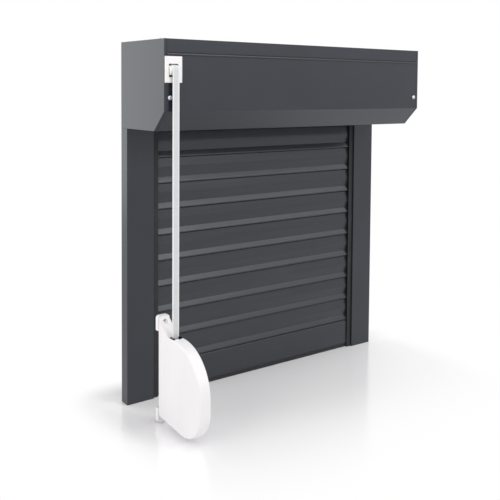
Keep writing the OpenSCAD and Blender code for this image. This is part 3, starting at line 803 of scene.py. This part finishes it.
def strap_mesh(look):
    """Flat strap along its route, with thinner edges and a weave map in metres."""
    route = strap_route(look)
    low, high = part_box("strap_run")
    half, thick = (high.x - low.x) / 2, look.strap_thick / 2
    columns = 12
    edge_share, edge_loss = 0.18, 0.65
    across = [half * (2 * number / columns - 1) for number in range(columns + 1)]

    def swell(x):
        """Half thickness across the strap: full in the middle, thin at the edge."""
        into_edge = max(0, abs(x) / half - (1 - edge_share)) / edge_share
        return thick * (1 - into_edge * edge_loss)

    ring = [(x, swell(x)) for x in across] + [(x, -swell(x)) for x in reversed(across)]
    bm = bmesh.new()
    weave = bm.loops.layers.uv.new("weave")
    rows, run = [], 0.0
    for number, (point, out) in enumerate(route):
        run += (point - route[number - 1][0]).length if number else 0
        corners = [bm.verts.new(point + Vector((x, 0, 0)) + out * depth) for x, depth in ring]
        rows.append((corners, run))
    for (first, run_a), (second, run_b) in zip(rows, rows[1:]):
        for number in range(len(ring)):
            after = (number + 1) % len(ring)
            face = bm.faces.new((first[number], second[number], second[after], first[after]))
            here, there = ring[number][0], ring[after][0]
            marks = ((here, run_a), (here, run_b), (there, run_b), (there, run_a))
            for corner, mark in zip(face.loops, marks):
                corner[weave].uv = mark
    bm.faces.new(rows[0][0])
    bm.faces.new(reversed(rows[-1][0]))
    bmesh.ops.recalc_face_normals(bm, faces=bm.faces)
    return mesh_from(bm, "strap_band", crease=radians(50))


class SHUTTER_OT_strap(bpy.types.Operator):
    """Makes the strap, its guide plate and the guide roller"""

    bl_idname = "shutter.strap"
    bl_label = "Strap"

    def execute(self, context):
        look = context.scene.shutter_look
        strap = new_object("strap_band", strap_mesh(look))
        settle(strap, "strap", ["strap_run"])
        plate = rounded_copy("guide_plate", "guide_plate_moulding", look.mould_edge, MOULD_LEAST,
                             steps=3)
        settle(plate, "white", ["guide_plate"])
        dress("roller", "guide_roller")
        dress("zinc", "guide_pin")
        return {"FINISHED"}


def face_edge(face_x):
    """A test for the corner edges that lie on one flat face of the winder."""
    def test(edge):
        on_face = all(abs(vert.co.x - face_x) < ON_FACE for vert in edge.verts)
        return on_face and edge.is_convex and edge.calc_face_angle() > RIM_CORNER
    return test


class SHUTTER_OT_winder(bpy.types.Operator):
    """Makes the winder's shells and its bracket, and dresses its reel"""

    bl_idname = "shutter.winder"
    bl_label = "Winder"

    def execute(self, context):
        look = context.scene.shutter_look
        left_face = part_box("housing_left")[0].x
        right_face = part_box("housing_right")[1].x
        for node, face_x in (("housing_left", left_face), ("housing_right", right_face)):
            bm = clean_copy(node)
            round_edges(bm, look.shell_edge, face_edge(face_x), steps=6)
            shell = new_object(f"{node}_shell", mesh_from(bm, f"{node}_shell"))
            settle(shell, "white", [node])
        bracket = rounded_copy("winder_bracket", "winder_bracket_moulding", look.mould_edge,
                               MOULD_LEAST, steps=3)
        settle(bracket, "white", ["winder_bracket"])
        dress("dark", "winder_reel")
        dress("coil", "reel_strap")
        dress("zinc", "mainspring")
        return {"FINISHED"}


def lamp(name, place, target, size, power):
    """A soft rectangular lamp that looks at a point, its power in watts."""
    light = bpy.data.lights.new(name, "AREA")
    light.shape = "RECTANGLE"
    light.size, light.size_y = size
    light.energy = power
    thing = bpy.data.objects.new(name, light)
    thing.location = place
    ray = Vector(target) - Vector(place)
    thing.rotation_euler = ray.to_track_quat("-Z", "Y").to_euler()
    bpy.context.scene.collection.objects.link(thing)


def light_studio():
    """Soft lamps behind, beside, above and in front of the shutter."""
    lamp("back_softbox", place=(-1.5, 1.75, 0.1), target=(-0.3, -0.1, -0.1),
         size=(1.6, 2.0), power=12)
    lamp("left_softbox", place=(-2.4, -0.6, 0.6), target=(-0.3, -0.2, -0.3),
         size=(1.6, 1.6), power=17)
    lamp("top_softbox", place=(0.5, -1.0, 2.6), target=(0, -0.2, -0.5),
         size=(3.2, 1.8), power=41)
    lamp("front_softbox", place=(-0.9, -1.6, 0.9), target=(-0.2, -0.1, 0),
         size=(0.7, 0.7), power=0.8)
    lamp("corner_softbox", place=(0.95, -2.3, 1.1), target=(-0.15, -0.05, -0.2),
         size=(0.7, 0.9), power=13.5)
    lamp("side_softbox", place=(2.0, -1.9, 1.05), target=(0.15, -0.05, -0.2),
         size=(0.9, 0.8), power=5)


def white_world(strength):
    """White surroundings for the camera and for reflections, and a soft sky for the light."""
    world = bpy.data.worlds.new("white_surroundings")
    world.use_nodes = True
    sky = NodeTree(world.node_tree)
    inputs = {"Value": sky.seen(), "To Min": strength, "To Max": 1.0}
    level = sky.add("ShaderNodeMapRange", sockets=inputs)
    around = sky.add("ShaderNodeBackground", sockets={"Color": WHITE, "Strength": level})
    sky.add("ShaderNodeOutputWorld", sockets={"Surface": around})
    bpy.context.scene.world = world


def aim_camera(stage):
    """Camera at the photograph's place and angle."""
    camera = bpy.data.cameras.new("camera")
    camera.lens = stage.lens
    camera.sensor_width = SENSOR_WIDTH
    camera.shift_y = stage.shift_y
    thing = bpy.data.objects.new("camera", camera)
    bpy.context.scene.collection.objects.link(thing)
    yaw, pitch, roll = stage.yaw, stage.pitch, stage.roll
    ahead = Vector((sin(yaw) * cos(pitch), cos(yaw) * cos(pitch), sin(pitch)))
    level = Vector((cos(yaw), -sin(yaw), 0))
    above = level.cross(ahead)
    right = level * cos(roll) + above * sin(roll)
    up = above * cos(roll) - level * sin(roll)
    turn = Matrix((right, up, -ahead)).transposed().to_4x4()
    thing.matrix_world = Matrix.Translation(Vector(stage.eye)) @ turn
    bpy.context.scene.camera = thing


class SHUTTER_OT_stage(bpy.types.Operator):
    """Sets the floor, the lights and the camera"""

    bl_idname = "shutter.stage"
    bl_label = "Stage"

    def execute(self, context):
        stage = context.scene.shutter_stage
        bm = bmesh.new()
        bmesh.ops.create_circle(bm, cap_ends=True, segments=96, radius=stage.floor_reach)
        floor = new_object("studio_floor", mesh_from(bm, "studio_floor"))
        floor.location.z = CAD_BOX[0][2]
        floor.data.materials.append(white_floor("white_floor", stage))
        light_studio()
        white_world(stage.sky)
        aim_camera(stage)
        context.scene.view_settings.view_transform = "Standard"
        return {"FINISHED"}


OPERATORS = (SHUTTER_OT_stage, SHUTTER_OT_box, SHUTTER_OT_screws, SHUTTER_OT_rails,
             SHUTTER_OT_curtain, SHUTTER_OT_roller, SHUTTER_OT_strap, SHUTTER_OT_winder)


class SHUTTER_PT_panel(bpy.types.Panel):
    """Lists the shutter's looks and its operators"""

    bl_label = "Roller shutter"
    bl_idname = "SHUTTER_PT_panel"
    bl_space_type = "VIEW_3D"
    bl_region_type = "UI"
    bl_category = "Shutter"

    def draw(self, context):
        for group in (context.scene.shutter_look, context.scene.shutter_stage):
            for name in group.bl_rna.properties.keys():
                if name not in ("rna_type", "name"):
                    self.layout.prop(group, name)
        for operator in OPERATORS:
            self.layout.operator(operator.bl_idname)


CLASSES = (ShutterLook, StageLook, *OPERATORS, SHUTTER_PT_panel)


def register():
    """Registers the classes and the scene's settings."""
    for item in CLASSES:
        bpy.utils.register_class(item)
    bpy.types.Scene.shutter_look = PointerProperty(type=ShutterLook)
    bpy.types.Scene.shutter_stage = PointerProperty(type=StageLook)


def unregister():
    """Removes what register added."""
    del bpy.types.Scene.shutter_stage
    del bpy.types.Scene.shutter_look
    for item in reversed(CLASSES):
        bpy.utils.unregister_class(item)


def main():
    """Builds the stage and every piece."""
    register()
    bpy.ops.shutter.stage()
    bpy.ops.shutter.box()
    bpy.ops.shutter.screws()
    bpy.ops.shutter.rails()
    bpy.ops.shutter.curtain()
    bpy.ops.shutter.roller()
    bpy.ops.shutter.strap()
    bpy.ops.shutter.winder()


if __name__ == "__main__":
    main()
